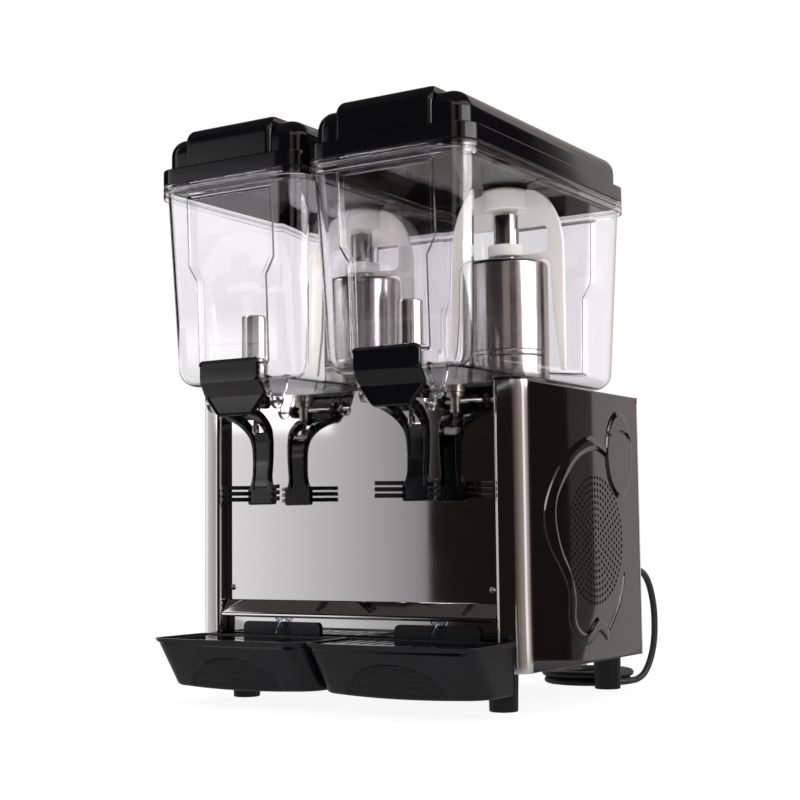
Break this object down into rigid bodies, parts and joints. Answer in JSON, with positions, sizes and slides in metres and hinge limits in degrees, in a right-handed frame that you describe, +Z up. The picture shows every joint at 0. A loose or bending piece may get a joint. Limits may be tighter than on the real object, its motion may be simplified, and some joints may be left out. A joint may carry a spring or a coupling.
{
  "type": "double juice dispenser",
  "caption": "Counter drink dispenser: clear lidded bowls on a cooled steel and black body, sprung lever taps, stirrers and pull-out drip trays.",
  "frame": {"origin": "middle of the machine's outline, without its cord, at the counter surface under the feet", "axes": "+X to the viewer's right, seen from the taps; +Y to the back; +Z up"},
  "size_m": [0.4316, 0.5513, 0.6514],
  "materials": {
    "mirror_steel": "mirror polished stainless",
    "brushed_steel": "brushed stainless",
    "black_gloss": "glossy black ABS",
    "black_plastic": "satin black plastic",
    "black_paint": "black enamel",
    "clear_plastic": "clear polycarbonate",
    "white_plastic": "white food-grade plastic",
    "fin_aluminium": "bare aluminium fins",
    "seal_rubber": "grey silicone",
    "cord_rubber": "black PVC jacket"
  },
  "bodies": {
    "cabinet": {"base_pan": "black_paint", "foot_front_left": "black_plastic", "foot_front_right": "black_plastic", "foot_rear_left": "black_plastic", "foot_rear_right": "black_plastic", "column_left": "mirror_steel", "column_right": "mirror_steel", "column_cap_left": "black_gloss", "column_cap_right": "black_gloss", "rear_strip_left": "mirror_steel", "rear_strip_right": "mirror_steel", "front_panel": "mirror_steel", "drip_ledge": "brushed_steel", "tray_bracket_left": "black_gloss", "tray_bracket_right": "black_gloss", "side_panel_left": "black_gloss", "side_panel_right": "black_gloss", "rear_panel": "brushed_steel", "top_deck": "black_plastic", "compressor": "black_paint", "condenser": "fin_aluminium", "fan_motor": "black_paint", "evaporator_left": "brushed_steel", "evaporator_right": "brushed_steel", "bowl_seal_left": "seal_rubber", "bowl_seal_right": "seal_rubber", "drive_motor_left": "black_paint", "drive_motor_right": "black_paint", "cord_relief": "cord_rubber", "cord_lead": "cord_rubber", "cord_coil": "cord_rubber", "plug": "black_plastic"},
    "bowl_left": {"bowl_left": "clear_plastic", "standpipe_left": "brushed_steel", "nozzle_left": "brushed_steel", "lever_pin_left": "brushed_steel", "valve_spring_left": "brushed_steel"},
    "bowl_right": {"bowl_right": "clear_plastic", "standpipe_right": "brushed_steel", "nozzle_right": "brushed_steel", "lever_pin_right": "brushed_steel", "valve_spring_right": "brushed_steel"},
    "lid_left": {"lid_left": "black_gloss"},
    "lid_right": {"lid_right": "black_gloss"},
    "lever_left": {"lever_left": "black_gloss"},
    "lever_right": {"lever_right": "black_gloss"},
    "valve_left": {"valve_piston_left": "brushed_steel"},
    "valve_right": {"valve_piston_right": "brushed_steel"},
    "shaft_left": {"drive_shaft_left": "brushed_steel"},
    "shaft_right": {"drive_shaft_right": "brushed_steel"},
    "agitator_left": {"agitator_left": "white_plastic"},
    "agitator_right": {"agitator_right": "white_plastic"},
    "tray_left": {"drip_tray_left": "black_gloss"},
    "tray_right": {"drip_tray_right": "black_gloss"},
    "grid_left": {"tray_grid_left": "black_gloss"},
    "grid_right": {"tray_grid_right": "black_gloss"},
    "fan": {"fan_blade": "black_plastic"},
    "rocker_1": {"rocker_switch_1": "black_plastic"},
    "rocker_2": {"rocker_switch_2": "black_plastic"},
    "rocker_3": {"rocker_switch_3": "black_plastic"}
  },
  "joints": [
    {"name": "bowl_left_lift", "type": "slide", "parent": "cabinet", "child": "bowl_left", "axis": [0, 0, 1], "range_m": [0, 0.25]},
    {"name": "bowl_right_lift", "type": "slide", "parent": "cabinet", "child": "bowl_right", "axis": [0, 0, 1], "range_m": [0, 0.25]},
    {"name": "lid_left_lift", "type": "slide", "parent": "bowl_left", "child": "lid_left", "axis": [0, 0, 1], "range_m": [0, 0.12]},
    {"name": "lid_right_lift", "type": "slide", "parent": "bowl_right", "child": "lid_right", "axis": [0, 0, 1], "range_m": [0, 0.12]},
    {"name": "lever_left_press", "type": "hinge", "parent": "bowl_left", "child": "lever_left", "pos_m": [-0.1031, -0.16185, 0.334], "axis": [1, 0, 0], "range_deg": [0, 12], "stiffness_Nm_per_rad": 0.8, "springref_deg": -8.59},
    {"name": "lever_right_press", "type": "hinge", "parent": "bowl_right", "child": "lever_right", "pos_m": [0.1031, -0.16185, 0.334], "axis": [1, 0, 0], "range_deg": [0, 12], "stiffness_Nm_per_rad": 0.8, "springref_deg": -8.59},
    {"name": "valve_left_lift", "type": "slide", "parent": "bowl_left", "child": "valve_left", "axis": [0, 0, 1], "range_m": [0, 0.0048], "deforming": ["valve_spring_left"]},
    {"name": "valve_right_lift", "type": "slide", "parent": "bowl_right", "child": "valve_right", "axis": [0, 0, 1], "range_m": [0, 0.0048], "deforming": ["valve_spring_right"]},
    {"name": "shaft_left_spin", "type": "hinge", "parent": "cabinet", "child": "shaft_left", "pos_m": [-0.1031, 0.07515, 0.4], "axis": [0, 0, 1], "continuous": true},
    {"name": "shaft_right_spin", "type": "hinge", "parent": "cabinet", "child": "shaft_right", "pos_m": [0.1031, 0.07515, 0.4], "axis": [0, 0, 1], "continuous": true},
    {"name": "agitator_left_lift", "type": "slide", "parent": "shaft_left", "child": "agitator_left", "axis": [0, 0, 1], "range_m": [0, 0.25]},
    {"name": "agitator_right_lift", "type": "slide", "parent": "shaft_right", "child": "agitator_right", "axis": [0, 0, 1], "range_m": [0, 0.25]},
    {"name": "tray_left_pull", "type": "slide", "parent": "cabinet", "child": "tray_left", "axis": [0, -1, 0], "range_m": [0, 0.12]},
    {"name": "tray_right_pull", "type": "slide", "parent": "cabinet", "child": "tray_right", "axis": [0, -1, 0], "range_m": [0, 0.12]},
    {"name": "grid_left_lift", "type": "slide", "parent": "tray_left", "child": "grid_left", "axis": [0, 0, 1], "range_m": [0, 0.05]},
    {"name": "grid_right_lift", "type": "slide", "parent": "tray_right", "child": "grid_right", "axis": [0, 0, 1], "range_m": [0, 0.05]},
    {"name": "fan_spin", "type": "hinge", "parent": "cabinet", "child": "fan", "pos_m": [0.19, 0.06995, 0.1779], "axis": [1, 0, 0], "continuous": true},
    {"name": "rocker_1_tilt", "type": "hinge", "parent": "cabinet", "child": "rocker_1", "pos_m": [-0.2098, 0.11515, 0.276], "axis": [0, -1, 0], "range_deg": [0, 12]},
    {"name": "rocker_2_tilt", "type": "hinge", "parent": "cabinet", "child": "rocker_2", "pos_m": [-0.2098, 0.13815, 0.276], "axis": [0, -1, 0], "range_deg": [0, 12]},
    {"name": "rocker_3_tilt", "type": "hinge", "parent": "cabinet", "child": "rocker_3", "pos_m": [-0.2098, 0.16115, 0.276], "axis": [0, -1, 0], "range_deg": [0, 12]}
  ],
  "couplings": [
    {"joint": "valve_left_lift", "follows": "lever_left_press", "m_per_rad": 0.0225},
    {"joint": "valve_right_lift", "follows": "lever_right_press", "m_per_rad": 0.0225},
    {"joint": "agitator_left_lift", "follows": "bowl_left_lift", "ratio": 1},
    {"joint": "agitator_right_lift", "follows": "bowl_right_lift", "ratio": 1}
  ]
}
